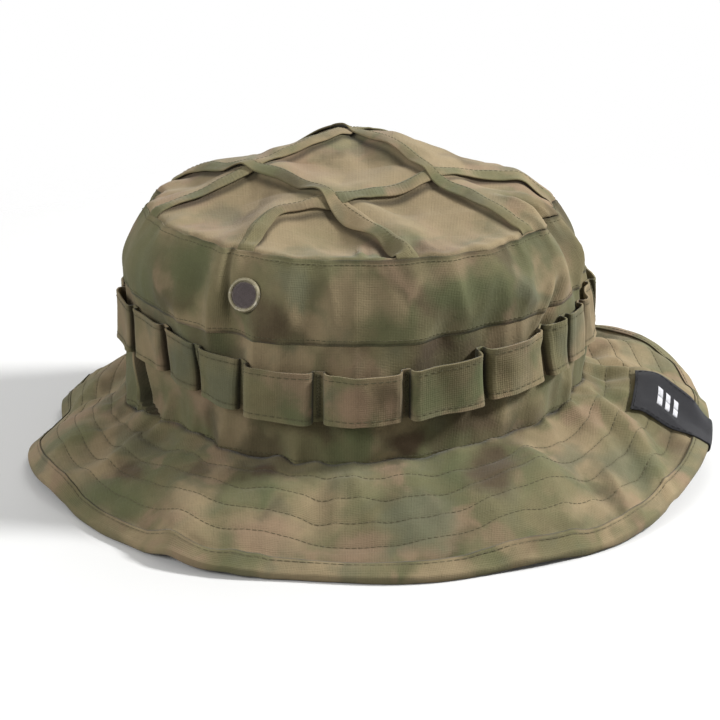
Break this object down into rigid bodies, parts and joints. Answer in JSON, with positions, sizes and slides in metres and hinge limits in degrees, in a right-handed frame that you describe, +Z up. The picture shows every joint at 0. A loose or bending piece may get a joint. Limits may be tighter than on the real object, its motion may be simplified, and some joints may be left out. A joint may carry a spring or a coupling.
{
  "type": "boonie hat",
  "caption": "Soft sun hat with a tall crown, foliage loops round it, screened vents and a drooping three-layer brim.",
  "frame": {"origin": "centre of the brim's outline, on the surface the brim's edge rests on", "axes": "+Z up through the crown, -Y to the front of the hat, +X to the wearer's left"},
  "size_m": [0.2747, 0.3004, 0.1339],
  "materials": {
    "camouflage_cloth": "ripstop cotton, matt",
    "brim_lining": "ripstop cotton, matt",
    "interlining": "stiff non-woven",
    "sweatband_cloth": "soft cotton twill",
    "elastic": "knitted elastic",
    "eyelet_metal": "khaki lacquer, satin",
    "vent_mesh": "fine woven wire",
    "label_cloth": "woven damask, satin"
  },
  "bodies": {
    "root": {"back_elastic": "elastic", "branch_loops": "camouflage_cloth", "brim_edge_binding": "camouflage_cloth", "brim_interlining": "interlining", "brim_label": "label_cloth", "brim_lower": "brim_lining", "brim_upper": "camouflage_cloth", "crown_band_lower": "camouflage_cloth", "crown_band_upper": "camouflage_cloth", "crown_seam_binding": "sweatband_cloth", "crown_top": "camouflage_cloth", "sweatband": "sweatband_cloth", "vent_eyelet_left": "eyelet_metal", "vent_eyelet_right": "eyelet_metal", "vent_screen_left": "vent_mesh", "vent_screen_right": "vent_mesh", "vent_washer_left": "eyelet_metal", "vent_washer_right": "eyelet_metal"}
  },
  "joints": []
}
